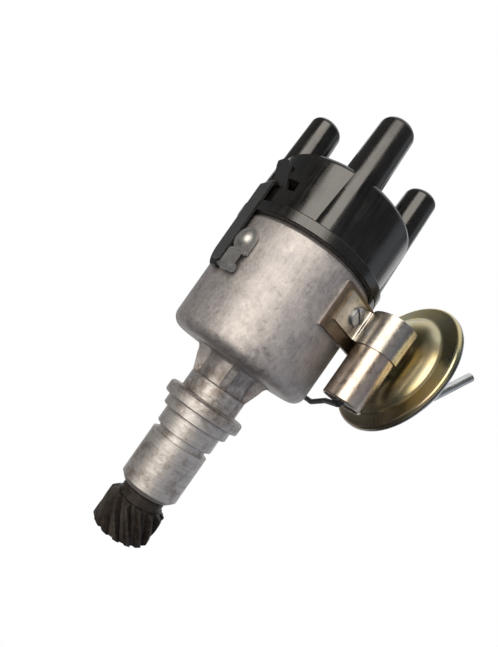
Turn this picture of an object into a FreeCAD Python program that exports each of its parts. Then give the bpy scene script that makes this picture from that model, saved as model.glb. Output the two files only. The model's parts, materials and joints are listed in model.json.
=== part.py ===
import FreeCAD, Part
import math
import os

# An ignition distributor for a four-cylinder engine, in millimetres.
# The shaft's axis is +Z, the flange's underside is z = 0 and the front of the object faces -Y.
# Azimuths are in degrees from the front (-Y) towards the right (+X).

V = FreeCAD.Vector
UP = V(0, 0, 1)

# driving sizes, read from the photograph with the bowl taken as 70 mm across
BOWL_R = 35.0
BOWL_WALL = 3.0
BOWL_BORE_R = BOWL_R - BOWL_WALL
LEDGE_R = BOWL_BORE_R - 1.5
BASE_SCREW_AT = LEDGE_R - 1.5
BOWL_BOTTOM = 26.5
BOWL_FLOOR = 30.5
LEDGE_Z = 58.5
RIM_Z = 81.9
STEM_R = 14.4
STEM_END = -42.6
PILOT_R = 16.7
PILOT_LENGTH = 5.1
FLANGE_R = 19.4
FLANGE_TOP = 5.7
COLLAR_TOP = 14.6
NECK_R = 12.0
SHAFT_R = 6.0
SPIGOT_R = 5.0
BUSH_R = 8.0
FIT = 0.05

GEAR_R = 14.2
GEAR_ROOT_R = 11.3
GEAR_TEETH = 13
GEAR_BOTTOM = -65.0
GEAR_TOP = -48.4
GEAR_TWIST = 52.0
HUB_R = 10.6
HUB_TOP = -43.2
PIN_Z = -45.8

CAP_R = BOWL_R - 0.1
CAP_WALL = 5.1
CAP_CAVITY_R = CAP_R - CAP_WALL
CAP_CEILING = 109.0
DECK_Z = 113.2
SKIRT_R = BOWL_R + 2.5
SKIRT_TOP = 86.7
TOWER_AT = CAP_R - 7.9
TOWER_HEIGHT = 26.8
TOWER_TIP = DECK_Z + TOWER_HEIGHT
SOCKET_R = 4.4
SOCKET_STEP = TOWER_TIP - 15.0
SOCKET_FLOOR = SOCKET_STEP - 7.0
CUP_R = 3.8
RECESS_R = CAP_R - 1.1
POCKET_R = CAP_R - 6.9
ELECTRODE_R = 2.0

CLIP_AZ = -62.0
BRACKET_AZ = -43.0
RIVET_Z = 68.7
RIVET_SHANK_R = 1.8
CLIP_THICK = 1.0
CLIP_NEAR = 6.7
CLIP_FAR = -5.5
HINGE_AZ = -50.0
HINGE_R = BOWL_R + 1.95
HINGE_Z = 55.4
PIN_R = 0.95
CLIP_R = HINGE_R - 0.35
LEDGE_FLOOR = 94.4

PLATE_AZ = 42.0
PLATE_FACE = BOWL_R + 2.0
PLATE_THICK = 1.6
PLATE_LEFT = -7.75
PLATE_LOW = 57.0
PLATE_HIGH = 77.8
SCREW_AT = 5.65
SCREW_Z = 69.8
STRAP_THICK = 0.9
CAN_R = 9.0
CAN_AT = 18.1
CAN_LOW = 37.8
CAN_HIGH = 77.6

CAPSULE_R = 32.5
CAPSULE_X = BOWL_R + 25.3
CAPSULE_Y = -4.55
CAPSULE_Z = 66.8
CAPSULE_AZ = 108.3
DISC_DEPTH = 7.5
ROD_R = 1.5
ROD_TRAVEL_AZ = 5.0

CARRIER_Z = 31.6
WEIGHT_Z = 34.2
WEIGHT_TOP = 39.8
FOOT_Z = 40.2
FOOT_TOP = 42.2
POST_TOP = 46.0
WEIGHT_PIVOT = 15.0
CAM_LOW = 66.0
CAM_HIGH = 75.0
CAM_TOP = 84.0
LOBE_R = 9.6
SLEEVE_R = 7.0
SEAT_R = 6.5
PLATE_TOP = 62.1
COLLAR_R = 13.0
WICK_R = 3.8

ROTOR_TOP = 97.0
BLADE_TOP = 98.4
BLADE_TIP_R = TOWER_AT - ELECTRODE_R - 0.6
BRUSH_TOP = CAP_CEILING - 1.0

LT_AZ = 125.0
LT_Z = 37.0
STUD_R = 2.4
STUD_END_R = 2.0
STUD_SLEEVE_R = 3.2


def spin(shape, degrees):
    """A copy of the shape turned about the shaft's axis."""
    copy = shape.copy()
    copy.rotate(V(0, 0, 0), UP, degrees)
    return copy


def radial(azimuth):
    a = math.radians(azimuth)
    return V(math.sin(a), -math.cos(a), 0)


def tangent(azimuth):
    a = math.radians(azimuth)
    return V(math.cos(a), math.sin(a), 0)


def local(azimuth, t, r, z):
    """The point t along the tangent, r out from the axis and z up, seen from one azimuth."""
    return radial(azimuth) * r + tangent(azimuth) * t + UP * z


def cylinder(radius, low, high, x=0.0, y=0.0):
    return Part.makeCylinder(radius, high - low, V(x, y, low))


def ring(outer, inner, low, high, x=0.0, y=0.0):
    return cylinder(outer, low, high, x, y).cut(cylinder(inner, low - 1, high + 1, x, y))


def rod(radius, start, end):
    return Part.makeCylinder(radius, (end - start).Length, start, end - start)


def joined(shapes):
    return shapes[0].multiFuse(shapes[1:]).removeSplitter()


def loop(points, place):
    """A closed wire; a point of four numbers is an arc's middle and its end."""
    edges = []
    start = place(*points[0])
    here = start
    for point in points[1:]:
        end = place(*point[-2:])
        if len(point) == 4:
            edges.append(Part.Arc(here, place(*point[:2]), end).toShape())
        else:
            edges.append(Part.makeLine(here, end))
        here = end
    if (here - start).Length > 1e-7:
        edges.append(Part.makeLine(here, start))
    return Part.Wire(edges)


def revolved(wire, base, axis):
    """A solid turned from a closed wire, with its faces pointing out."""
    face = Part.Face(wire)
    shape = face.revolve(base, axis, 360)
    return shape if shape.Volume > 0 else face.revolve(base, axis * -1, 360)


def turned(points, x=0.0, y=0.0):
    """A solid of revolution from (radius, height) points about a vertical axis."""
    return revolved(loop(points, lambda r, z: V(x + r, y, z)), V(x, y, 0), UP)


def prism(points, low, high):
    """A plan outline made solid between two heights."""
    return Part.Face(loop(points, lambda x, y: V(x, y, low))).extrude(UP * (high - low))


def slab(azimuth, points, left, right):
    """A (radius, height) outline made solid between two tangential positions."""
    face = Part.Face(loop(points, lambda r, z: local(azimuth, left, r, z)))
    return face.extrude(tangent(azimuth) * (right - left))


def plate(azimuth, points, inner, outer):
    """A (tangential, height) outline made solid between two radii."""
    face = Part.Face(loop(points, lambda t, z: local(azimuth, t, inner, z)))
    return face.extrude(radial(azimuth) * (outer - inner))


def box(left, right, low, high):
    return [(left, low), (right, low), (right, high), (left, high)]


def strip(points, radius, thickness):
    """The outline of a bent strip from its centre line, with round bends."""
    half = thickness / 2
    count = len(points)
    aims = []
    for (ax, ay), (bx, by) in zip(points, points[1:]):
        size = math.hypot(bx - ax, by - ay)
        aims.append(((bx - ax) / size, (by - ay) / size))

    def side(offset):
        out = [(points[0][0] - aims[0][1] * offset, points[0][1] + aims[0][0] * offset)]
        for i in range(1, count - 1):
            (ux, uy), (wx, wy) = aims[i - 1], aims[i]
            turn = math.atan2(ux * wy - uy * wx, ux * wx + uy * wy)
            reach = radius * math.tan(abs(turn) / 2)
            sign = 1 if turn > 0 else -1
            x, y = points[i]
            first = (x - ux * reach, y - uy * reach)
            last = (x + wx * reach, y + wy * reach)
            centre = (first[0] - uy * radius * sign, first[1] + ux * radius * sign)
            size = math.hypot(x - centre[0], y - centre[1])
            grown = radius - offset * sign
            middle = (centre[0] + (x - centre[0]) / size * grown,
                      centre[1] + (y - centre[1]) / size * grown)
            out.append((first[0] - uy * offset, first[1] + ux * offset))
            out.append(middle + (last[0] - wy * offset, last[1] + wx * offset))
        x, y = points[-1]
        out.append((x - aims[-1][1] * offset, y + aims[-1][0] * offset))
        return out

    left = side(half)
    right = side(-half)
    back = [right[-1][-2:]]
    for i in range(len(right) - 1, 0, -1):
        end = right[i - 1][-2:]
        back.append(right[i][:2] + end if len(right[i]) == 4 else end)
    return left + back


def path(points, radius):
    """A wire through 3-D points with a tangent arc at each bend."""
    edges = []
    here = points[0]
    for before, corner, after in zip(points, points[1:], points[2:]):
        inward = (corner - before).normalize()
        outward = (after - corner).normalize()
        angle = inward.getAngle(outward)
        reach = radius * math.tan(angle / 2)
        first = corner - inward * reach
        last = corner + outward * reach
        bulge = (outward - inward).normalize()
        middle = corner + bulge * (radius / math.cos(angle / 2) - radius)
        edges.append(Part.makeLine(here, first))
        edges.append(Part.Arc(first, middle, last).toShape())
        here = last
    edges.append(Part.makeLine(here, points[-1]))
    return Part.Wire(edges)


def swept(wire, radius, start, aim):
    profile = Part.Wire([Part.makeCircle(radius, start, aim)])
    return wire.makePipeShell([profile], True, True)


def coil(radius, wire_r, turns, start, end):
    """A helical spring of six-sided wire between two points."""
    length = (end - start).Length
    spine = Part.makeHelix(length / turns, length, radius)
    climb = math.atan2(length / turns, 2 * math.pi * radius)
    across = V(0, -math.sin(climb), math.cos(climb))
    corners = []
    for k in range(7):
        a = math.radians(60 * k)
        corners.append(V(radius + wire_r * math.cos(a), 0, 0) + across * (wire_r * math.sin(a)))
    spring = Part.Wire(spine).makePipeShell([Part.makePolygon(corners)], True, True)
    spring.Placement = FreeCAD.Placement(start, FreeCAD.Rotation(UP, end - start))
    return spring


def wire_loop(radius, wire_r, x, y, z):
    """A closed ring of six-sided wire round a post."""
    corners = []
    for k in range(6):
        a = math.radians(60 * k)
        corners.append((radius + wire_r * math.cos(a), z + wire_r * math.sin(a)))
    return turned(corners, x, y)


def slotted(head_r, head_height, shank_r, seat, aim, length, turn=35.0):
    """A cheese-head screw seated at a point, with its head out along the aim."""
    head = rod(head_r, seat, seat + aim * head_height)
    shank = rod(shank_r, seat - aim * length, seat)
    across = aim.cross(UP) if abs(aim.z) < 0.9 else V(1, 0, 0)
    slot = Part.makeBox(head_r * 2.4, head_height, head_r * 0.26)
    slot.translate(V(-head_r * 1.2, head_height * 0.55, -head_r * 0.13))
    turned_slot = slot.copy()
    turned_slot.rotate(V(0, 0, 0), V(0, 1, 0), turn)
    depth = across.cross(aim)
    frame = FreeCAD.Matrix(
        across.x, aim.x, -depth.x, seat.x,
        across.y, aim.y, -depth.y, seat.y,
        across.z, aim.z, -depth.z, seat.z,
        0, 0, 0, 1)
    turned_slot.Placement = FreeCAD.Placement(frame).multiply(turned_slot.Placement)
    return joined([head, shank]).cut(turned_slot)


# capsule frame: its axis points away from the bowl
CAPSULE_AIM = radial(CAPSULE_AZ)
CAPSULE_CENTRE = V(CAPSULE_X, CAPSULE_Y, CAPSULE_Z)
CAPSULE_ACROSS = tangent(CAPSULE_AZ)
FOOT_POINT = CAPSULE_CENTRE - CAPSULE_AIM * CAPSULE_CENTRE.dot(CAPSULE_AIM)
ROD_LINE_R = math.hypot(FOOT_POINT.x, FOOT_POINT.y)
ROD_MID_AZ = math.degrees(math.atan2(FOOT_POINT.x, -FOOT_POINT.y))
ROD_REST_AZ = ROD_MID_AZ - ROD_TRAVEL_AZ
ROD_REST_BACK = ROD_LINE_R * math.sin(math.radians(ROD_TRAVEL_AZ))
ROD_END = V(FOOT_POINT.x, FOOT_POINT.y, CAPSULE_Z) - CAPSULE_AIM * ROD_REST_BACK


def on_capsule(along, across=0.0, up=0.0):
    return CAPSULE_CENTRE + CAPSULE_AIM * along + CAPSULE_ACROSS * across + UP * up


def capsule_turned(points):
    """A solid of revolution about the capsule's axis from (radius, along) points."""
    return revolved(loop(points, lambda r, a: on_capsule(a, 0, r)), CAPSULE_CENTRE, CAPSULE_AIM)


def housing():
    fillet = 5.8
    corner = fillet * (1 - math.sqrt(0.5))
    body = turned([
        (BUSH_R, STEM_END), (STEM_R - 2.2, STEM_END), (STEM_R, STEM_END + 2.3),
        (STEM_R, -16.4), (12.3, -16.4), (12.3, -13.2), (STEM_R - 0.3, -13.2),
        (STEM_R, -12.9), (STEM_R, -PILOT_LENGTH), (PILOT_R - 0.5, -PILOT_LENGTH),
        (PILOT_R, -PILOT_LENGTH + 0.5), (PILOT_R, 0), (FLANGE_R - 0.6, 0),
        (FLANGE_R, 0.6), (FLANGE_R, FLANGE_TOP - 0.8), (FLANGE_R - 0.8, FLANGE_TOP),
        (STEM_R + 0.5, FLANGE_TOP), (STEM_R, FLANGE_TOP + 0.6), (STEM_R, COLLAR_TOP - 0.6),
        (STEM_R - 0.6, COLLAR_TOP), (NECK_R, COLLAR_TOP), (NECK_R, BOWL_BOTTOM - 2.0),
        (NECK_R + 0.6, BOWL_BOTTOM - 0.6, NECK_R + 2.0, BOWL_BOTTOM),
        (BOWL_R - fillet, BOWL_BOTTOM),
        (BOWL_R - corner, BOWL_BOTTOM + corner, BOWL_R, BOWL_BOTTOM + fillet),
        (BOWL_R, RIM_Z - 1.6), (BOWL_R - 0.9, RIM_Z), (BOWL_BORE_R, RIM_Z),
        (BOWL_BORE_R, LEDGE_Z), (LEDGE_R, LEDGE_Z), (LEDGE_R, BOWL_FLOOR),
        (BUSH_R, BOWL_FLOOR), (BUSH_R, COLLAR_TOP), (BUSH_R - 1, COLLAR_TOP),
        (BUSH_R - 1, -20), (BUSH_R, -20)])
    ribs = []
    for k in range(4):
        ribs.append(slab(6 + 90 * k, [
            (NECK_R - 2, COLLAR_TOP - 0.5), (STEM_R - 0.2, COLLAR_TOP - 0.5),
            (STEM_R, COLLAR_TOP), (17.3, 22.4), (18.4, 25.1, 21.0, BOWL_BOTTOM + 0.2),
            (NECK_R - 2, BOWL_BOTTOM + 0.2)], -1.6, 1.6))
    pads = [plate(PLATE_AZ, box(PLATE_LEFT, 11, PLATE_LOW, PLATE_HIGH),
                  PLATE_FACE - 9, PLATE_FACE - PLATE_THICK)]
    for turn in (0, 180):
        pads.append(plate(BRACKET_AZ + turn, box(-4, 4, RIVET_Z - 4, RIVET_Z + 4),
                          BOWL_R - 6, BOWL_R + 0.3))
    pads.append(rod(4.2, local(LT_AZ, 0, BOWL_R - 5, LT_Z), local(LT_AZ, 0, BOWL_R + 0.6, LT_Z)))
    inside = cylinder(LEDGE_R, BOWL_FLOOR, LEDGE_Z).fuse(
        cylinder(BOWL_BORE_R, LEDGE_Z, RIM_Z + 5))
    body = joined([body] + ribs + [pad.cut(inside) for pad in pads])
    lugs = []
    for azimuth in (-20, 160):
        at = local(azimuth, 0, BASE_SCREW_AT, 0)
        lug = cylinder(3.5, BOWL_FLOOR - 1, LEDGE_Z, at.x, at.y)
        lugs.append(lug.common(cylinder(BOWL_BORE_R, 0, 90)))
    body = joined([body] + lugs)
    holes = [rod(2.4, on_capsule(-5), ROD_END)]
    holes.append(wall_hole(2.0, PLATE_AZ, SCREW_AT, SCREW_Z))
    holes.append(wall_hole(STUD_SLEEVE_R, LT_AZ, 0, LT_Z))
    for turn in (0, 180):
        holes.append(wall_hole(RIVET_SHANK_R, BRACKET_AZ + turn, 0, RIVET_Z))
    for azimuth in (-20, 160):
        at = local(azimuth, 0, BASE_SCREW_AT, 0)
        holes.append(cylinder(1.5, LEDGE_Z - 9, LEDGE_Z + 1, at.x, at.y))
    for hole in holes:
        body = body.cut(hole)
    return body.removeSplitter()


def wall_hole(radius, azimuth, t, z):
    """A rod that reaches through the bowl's wall, to cut a hole with."""
    return rod(radius, local(azimuth, t, BOWL_R - 9, z), local(azimuth, t, BOWL_R + 15, z))


def cross_pin():
    half = HUB_R - 0.1
    return rod(1.5, V(-half, 0, PIN_Z), V(half, 0, PIN_Z))


def main_shaft():
    shaft = turned([
        (0, GEAR_BOTTOM), (SHAFT_R - 0.8, GEAR_BOTTOM), (SHAFT_R, GEAR_BOTTOM + 0.8),
        (SHAFT_R, FOOT_Z - 0.1), (SPIGOT_R, FOOT_Z - 0.1), (SPIGOT_R, CAM_HIGH + 0.9),
        (0, CAM_HIGH + 0.9)])
    tapped = cylinder(2.0, CAM_HIGH - 8, CAM_HIGH + 2)
    return shaft.cut(tapped).cut(cross_pin())


def drive_gear():
    """Left-hand helical teeth, swept up the axis from one outline that a helix turns."""
    height = GEAR_TOP - GEAR_BOTTOM
    pitch = 360.0 / GEAR_TEETH
    corners = []
    for tooth in range(GEAR_TEETH):
        for offset, radius in ((-0.33, GEAR_ROOT_R), (-0.21, 13.0), (-0.11, GEAR_R),
                               (0.11, GEAR_R), (0.21, 13.0), (0.33, GEAR_ROOT_R)):
            angle = math.radians((tooth + offset) * pitch)
            corners.append(V(radius * math.cos(angle), radius * math.sin(angle), GEAR_BOTTOM))
    corners.append(corners[0])
    guide = Part.makeHelix(height * 360 / GEAR_TWIST, height, GEAR_R, 0, True)
    guide.translate(UP * GEAR_BOTTOM)
    sweep = Part.BRepOffsetAPI.MakePipeShell(Part.Wire(Part.makeLine(UP * GEAR_BOTTOM, UP * GEAR_TOP)))
    sweep.setAuxiliarySpine(Part.Wire(guide), True, 0)
    sweep.add(Part.makePolygon(corners))
    sweep.build()
    sweep.makeSolid()
    teeth = sweep.shape()
    blank = turned([
        (0, GEAR_BOTTOM), (12.6, GEAR_BOTTOM), (GEAR_R, GEAR_BOTTOM + 1.3),
        (GEAR_R, GEAR_TOP - 1.6), (12.4, GEAR_TOP), (0, GEAR_TOP)])
    hub = turned([(0, GEAR_TOP - 2), (HUB_R, GEAR_TOP - 2), (HUB_R, HUB_TOP - 0.6),
                  (HUB_R - 0.6, HUB_TOP), (0, HUB_TOP)])
    gear = teeth.common(blank).fuse(hub)
    return gear.cut(cylinder(SHAFT_R, GEAR_BOTTOM - 1, HUB_TOP + 1)).cut(cross_pin())


def weight_carrier():
    disc = ring(22.0, SHAFT_R, CARRIER_Z, WEIGHT_Z - 0.1)
    for post in weight_posts() + spring_posts():
        disc = disc.cut(post)
    return disc


def weight_posts():
    return [cylinder(2.0, CARRIER_Z, WEIGHT_TOP + 0.2, 0, y) for y in (WEIGHT_PIVOT, -WEIGHT_PIVOT)]


def spring_posts():
    return [cylinder(1.3, CARRIER_Z, POST_TOP, x, y) for x, y in ((-8.5, -18.5), (8.5, 18.5))]


def weight():
    """The first of the two swinging weights, hung on the rear post."""
    band = ring(21.0, 9.5, WEIGHT_Z, WEIGHT_TOP)
    start = math.radians(90)
    stop = math.radians(220)
    reach = 60
    middle = (start + stop) / 2
    wedge = prism([
        (0, 0), (reach * math.cos(start), reach * math.sin(start)),
        (reach * math.cos(middle), reach * math.sin(middle),
         reach * math.cos(stop), reach * math.sin(stop))], WEIGHT_Z, WEIGHT_TOP)
    eye = cylinder(4.0, WEIGHT_Z, WEIGHT_TOP, 0, WEIGHT_PIVOT)
    peg = cylinder(1.8, WEIGHT_TOP - 0.5, FOOT_TOP - 0.2, -11, 4)
    bore = cylinder(2.0 + FIT, WEIGHT_Z - 1, WEIGHT_TOP + 1, 0, WEIGHT_PIVOT)
    return joined([band.common(wedge), eye, peg]).cut(bore)


FOOT_AZ_MATH = math.degrees(math.atan2(4, -11))


def along_foot(distance):
    a = math.radians(FOOT_AZ_MATH)
    return V(distance * math.cos(a), distance * math.sin(a), 0)


def cam():
    sleeve = cylinder(SLEEVE_R, FOOT_Z, CAM_LOW)
    foot = Part.makeBox(40, 11, FOOT_TOP - FOOT_Z, V(-20, -5.5, FOOT_Z))
    foot = spin(foot, FOOT_AZ_MATH).common(cylinder(19.2, FOOT_Z, FOOT_TOP))
    outline = []
    for k in range(4):
        def at(angle, radius):
            a = math.radians(angle + 90 * k)
            return (radius * math.cos(a), radius * math.sin(a))
        if k == 0:
            outline.append(at(-9, LOBE_R - 0.12))
        outline.append(at(0, LOBE_R) + at(9, LOBE_R - 0.12))
        outline.append(at(45, LOBE_R - 1.5) + at(81, LOBE_R - 0.12))
    lobes = prism(outline, CAM_LOW, CAM_HIGH)
    seat = cylinder(SEAT_R, CAM_HIGH, CAM_TOP)
    parts = [sleeve, foot, lobes, seat]
    for distance in (17, -17):
        at_post = along_foot(distance)
        parts.append(cylinder(1.3, FOOT_TOP, POST_TOP, at_post.x, at_post.y))
    body = joined(parts)
    for sign in (1, -1):
        inner = along_foot(sign * 11.5)
        outer = along_foot(sign * 14.8)
        slot = cylinder(1.95, FOOT_Z - 1, FOOT_TOP + 0.5, inner.x, inner.y)
        slot = slot.fuse(cylinder(1.95, FOOT_Z - 1, FOOT_TOP + 0.5, outer.x, outer.y))
        channel = Part.makeBox(3.3, 3.9, FOOT_TOP - FOOT_Z + 1.5, V(11.5, -1.95, FOOT_Z - 1))
        body = body.cut(slot).cut(spin(channel, FOOT_AZ_MATH + (0 if sign > 0 else 180)))
    body = body.cut(cylinder(SPIGOT_R + FIT, FOOT_Z - 1, CAM_HIGH + 1.0))
    body = body.cut(cylinder(2.4, CAM_HIGH, CAM_TOP)).cut(cylinder(WICK_R, CAM_HIGH + 3, CAM_TOP + 1))
    return body.cut(rotor_key())


def rotor_key():
    return Part.makeBox(2.4, 2.6, 5.0, V(-1.2, -SEAT_R - 0.2, CAM_TOP - 5.0))


def cam_screw():
    return slotted(3.6, 2.0, 2.0, V(0, 0, CAM_HIGH + 3.1), UP, 11)


def rotor_arm():
    body = turned([
        (SEAT_R, CAM_HIGH + 1.2), (9.6, CAM_HIGH + 1.2), (10.6, CAM_HIGH + 2.2), (9.2, ROTOR_TOP),
        (0, ROTOR_TOP), (0, CAM_TOP), (SEAT_R, CAM_TOP)])
    arm = prism([(-4.6, 0), (-4.6, -18), (-3.6, -22.6), (0, -23.2, 3.6, -22.6), (4.6, -18), (4.6, 0)],
                ROTOR_TOP - 6, ROTOR_TOP)
    tail = prism([(-6, 0), (-5, 12.4), (0, 13.4, 5, 12.4), (6, 0)], ROTOR_TOP - 4, ROTOR_TOP)
    key = rotor_key().common(cylinder(SEAT_R, CAM_HIGH, ROTOR_TOP))
    shell = joined([body, arm, tail])
    recess = prism([(-3.2, 3), (-3.2, -21), (0, -21.2, 3.2, -21), (3.2, 3)],
                   ROTOR_TOP - 0.4, ROTOR_TOP + 1)
    return joined([shell.cut(recess), key])


def rotor_blade():
    half = 3.2
    tip = math.sqrt(BLADE_TIP_R ** 2 - half ** 2)
    strip_part = prism([(-half, 3), (-half, -21), (0, -21.2, half, -21), (half, 3)],
                       ROTOR_TOP - 0.4, BLADE_TOP)
    nose = prism([(-half, -20), (-half, -tip), (0, -BLADE_TIP_R, half, -tip), (half, -20)],
                 ROTOR_TOP, BLADE_TOP)
    return joined([strip_part, nose])


def breaker_base():
    disc = ring(BOWL_BORE_R - 0.2, COLLAR_R, LEDGE_Z, LEDGE_Z + 1.8)
    for azimuth in (-20, 160):
        at = local(azimuth, 0, BASE_SCREW_AT, 0)
        disc = disc.cut(cylinder(1.5, LEDGE_Z - 1, LEDGE_Z + 3, at.x, at.y))
    for azimuth in (60, 240):
        window = ring(24, 18, LEDGE_Z - 1, LEDGE_Z + 3)
        wedge = prism([(0, 0), tuple(local(azimuth - 22, 0, 50, 0))[:2],
                       tuple(local(azimuth + 22, 0, 50, 0))[:2]], LEDGE_Z - 1, LEDGE_Z + 3)
        disc = disc.cut(window.common(wedge))
    return disc


def base_screws():
    screws = []
    for azimuth in (-20, 160):
        screws.append(slotted(2.7, 1.8, 1.5, local(azimuth, 0, BASE_SCREW_AT, LEDGE_Z + 1.8), UP, 10))
    return screws


ARM_PIVOT = V(-17, 14, 0)
ANCHOR = V(-22, -7, 0)
ARM_LOW = 68.7
ARM_HIGH = 73.3
CONTACT_Y = -12.0
CONTACT_Z = 71.0


def breaker_plate():
    low = LEDGE_Z + 1.9
    disc = ring(25.5, 11.0, low, PLATE_TOP)
    collar = ring(COLLAR_R - FIT, 11.0, LEDGE_Z - 1.0, low)
    hook = local(ROD_REST_AZ, 0, ROD_LINE_R, 0)
    parts = [disc, collar, cylinder(1.5, PLATE_TOP - 1, CAPSULE_Z + 2.2, hook.x, hook.y)]
    parts.append(cylinder(1.9, PLATE_TOP - 1, CAM_HIGH + 0.2, ARM_PIVOT.x, ARM_PIVOT.y))
    parts.append(cylinder(1.5, PLATE_TOP - 1, ARM_HIGH + 0.7, ANCHOR.x, ANCHOR.y))
    return joined(parts).cut(cylinder(1.5, low - 1, PLATE_TOP + 1, -17.6, -16.4))


def breaker_circlip():
    whole = ring(COLLAR_R + 1.6, COLLAR_R - FIT, LEDGE_Z - 0.9, LEDGE_Z - 0.1)
    return whole.cut(Part.makeBox(3, 20, 3, V(-1.5, 5, LEDGE_Z - 2)))


def fixed_contact():
    base = prism([(-21.2, -18.6), (-16.8, -21.0), (-9.0, -16.2), (-9.0, -9.2), (-14.2, -9.2)],
                 PLATE_TOP, PLATE_TOP + 1.4)
    upright = prism([(-13.2, -15.2), (-12.0, -15.2), (-12.0, -9.2), (-13.2, -9.2)],
                    PLATE_TOP, ARM_HIGH + 0.4)
    hole = cylinder(1.5, PLATE_TOP - 1, PLATE_TOP + 3, -17.6, -16.4)
    return joined([base, upright]).cut(hole)


def fixed_tip():
    return rod(2.1, V(-13.2, CONTACT_Y, CONTACT_Z), V(-14.1, CONTACT_Y, CONTACT_Z))


def moving_tip():
    return rod(2.1, V(-14.5, CONTACT_Y, CONTACT_Z), V(-15.6, CONTACT_Y, CONTACT_Z))


def points_screw():
    return slotted(2.7, 2.0, 1.5, V(-17.6, -16.4, PLATE_TOP + 1.4), UP, 3)


def breaker_arm():
    bar = prism([(-17.0, -14.4), (-15.6, -14.4), (-15.6, 14), (-17.0, 14)], ARM_LOW, ARM_HIGH)
    eye = cylinder(3.3, ARM_LOW, ARM_HIGH, ARM_PIVOT.x, ARM_PIVOT.y)
    bore = cylinder(1.9 + FIT, ARM_LOW - 1, ARM_HIGH + 1, ARM_PIVOT.x, ARM_PIVOT.y)
    return joined([bar, eye]).cut(bore)


def breaker_heel():
    tip = -(LOBE_R + 0.08)
    return prism([(-15.6, -3.2), (-12.4, -3.0), (tip - 0.9, -2.0), (tip, -1.0), (tip, 1.0),
                  (tip - 0.9, 2.0), (-12.4, 3.4), (-15.6, 4.0)], ARM_LOW + 0.2, ARM_HIGH - 0.2)


def breaker_spring():
    outline = strip([(-17.2, -12.6), (-17.2, 5.0), (-20.3, 5.0), (-20.3, -8.4)], 1.4, 0.4)
    return prism(outline, ARM_LOW + 0.9, ARM_HIGH - 0.9)


def tower(x, y, foot):
    shape = turned([
        (0, foot), (9.6, foot), (9.5, SKIRT_TOP + 4), (8.65, DECK_Z), (7.75, TOWER_TIP - 2.4),
        (7.0, TOWER_TIP - 0.7, 5.3, TOWER_TIP), (0, TOWER_TIP)], x, y)
    return shape


def tower_places():
    places = [(0.0, 0.0)]
    for azimuth in (0, 90, 180, 270):
        at = local(azimuth, 0, TOWER_AT, 0)
        places.append((at.x, at.y))
    return places


def distributor_cap():
    body = turned([
        (0, DECK_Z + 0.6), (20, DECK_Z + 0.3), (CAP_R - 2.6, DECK_Z),
        (CAP_R - 0.8, DECK_Z - 0.8, CAP_R, DECK_Z - 2.8), (CAP_R, SKIRT_TOP + 0.6),
        (CAP_R + 0.5, SKIRT_TOP), (SKIRT_R - 0.5, SKIRT_TOP), (SKIRT_R, SKIRT_TOP - 0.5),
        (SKIRT_R, RIM_Z + 0.3), (SKIRT_R - 0.3, RIM_Z), (BOWL_BORE_R - 0.1, RIM_Z),
        (BOWL_BORE_R - 0.1, RIM_Z - 2.4), (0, RIM_Z - 2.4)])
    hollow = ring(60, RECESS_R, LEDGE_FLOOR, DECK_Z + 5)
    for turn in (0, 180):
        azimuth = CLIP_AZ + turn
        body = body.cut(hollow.common(slab(azimuth, box(20, 50, LEDGE_FLOOR, DECK_Z + 5), -9, 16)))
        body = body.cut(slab(azimuth, box(CAP_R + 0.6, CAP_R + 15, RIM_Z - 1, LEDGE_FLOOR + 1), -6.6, 7.8))
    towers = [tower(x, y, DECK_Z - 2) for x, y in tower_places()[:1]]
    towers += [tower(x, y, SKIRT_TOP - 1) for x, y in tower_places()[1:]]
    cavity = cylinder(CAP_CAVITY_R, RIM_Z - 5, CAP_CEILING)
    for turn in (0, 180):
        cavity = cavity.cut(slab(CLIP_AZ + turn, box(BLADE_TIP_R + 0.8, CAP_R + 5, LEDGE_FLOOR - 2.9,
                                                     DECK_Z + 5), -8.5, 18.5))
    boss = cylinder(6.6, CAP_CEILING - 5, CAP_CEILING + 1)
    body = joined([body] + towers).cut(cavity.cut(boss))
    for turn in (0, 180):
        body = body.cut(clip_pocket(CLIP_AZ + turn))
    body = body.cut(cylinder(CUP_R, CAP_CEILING - 6, SOCKET_FLOOR))
    for x, y in tower_places():
        body = body.cut(cylinder(SOCKET_R, SOCKET_STEP, TOWER_TIP + 1, x, y))
        body = body.cut(cylinder(CUP_R, SOCKET_FLOOR, SOCKET_STEP + 1, x, y))
        body = body.cut(cylinder(ELECTRODE_R, CAP_CEILING - 8, SOCKET_FLOOR + 1, x, y))
    return body.removeSplitter()


def clip_pocket(azimuth):
    """The pocket in the cap's wall that the clip's fold drops into."""
    def room(high, left, right):
        return slab(azimuth, [(POCKET_R, LEDGE_FLOOR), (CAP_R + 15, LEDGE_FLOOR), (CAP_R + 15, high),
                              (CAP_R - 0.9, high), (POCKET_R, LEDGE_FLOOR + 3.6)], left, right)
    return room(LEDGE_FLOOR + 12.6, CLIP_FAR - 0.4, CLIP_NEAR + 0.7).fuse(
        room(LEDGE_FLOOR + 6.6, CLIP_NEAR, 16))


def socket_cup(x, y):
    cup = cylinder(CUP_R, SOCKET_FLOOR, SOCKET_STEP, x, y)
    return cup.cut(cylinder(CUP_R - 0.7, SOCKET_FLOOR + 1.2, SOCKET_STEP + 1, x, y))


def side_electrodes():
    return [socket_cup(x, y).fuse(cylinder(ELECTRODE_R, ROTOR_TOP - 3.0, SOCKET_FLOOR + 1, x, y))
            for x, y in tower_places()[1:]]


def centre_electrode():
    tube = ring(CUP_R, 2.6 + FIT, CAP_CEILING - 5, SOCKET_FLOOR - 1.0)
    lid = cylinder(CUP_R, SOCKET_FLOOR - 1.0, SOCKET_FLOOR)
    return joined([tube, lid, socket_cup(0, 0)])


def carbon_brush():
    return turned([(0, BLADE_TOP + 0.06), (1.9, BLADE_TOP + 0.06), (2.6, BLADE_TOP + 0.9),
                   (2.6, BRUSH_TOP), (0, BRUSH_TOP)])


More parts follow.
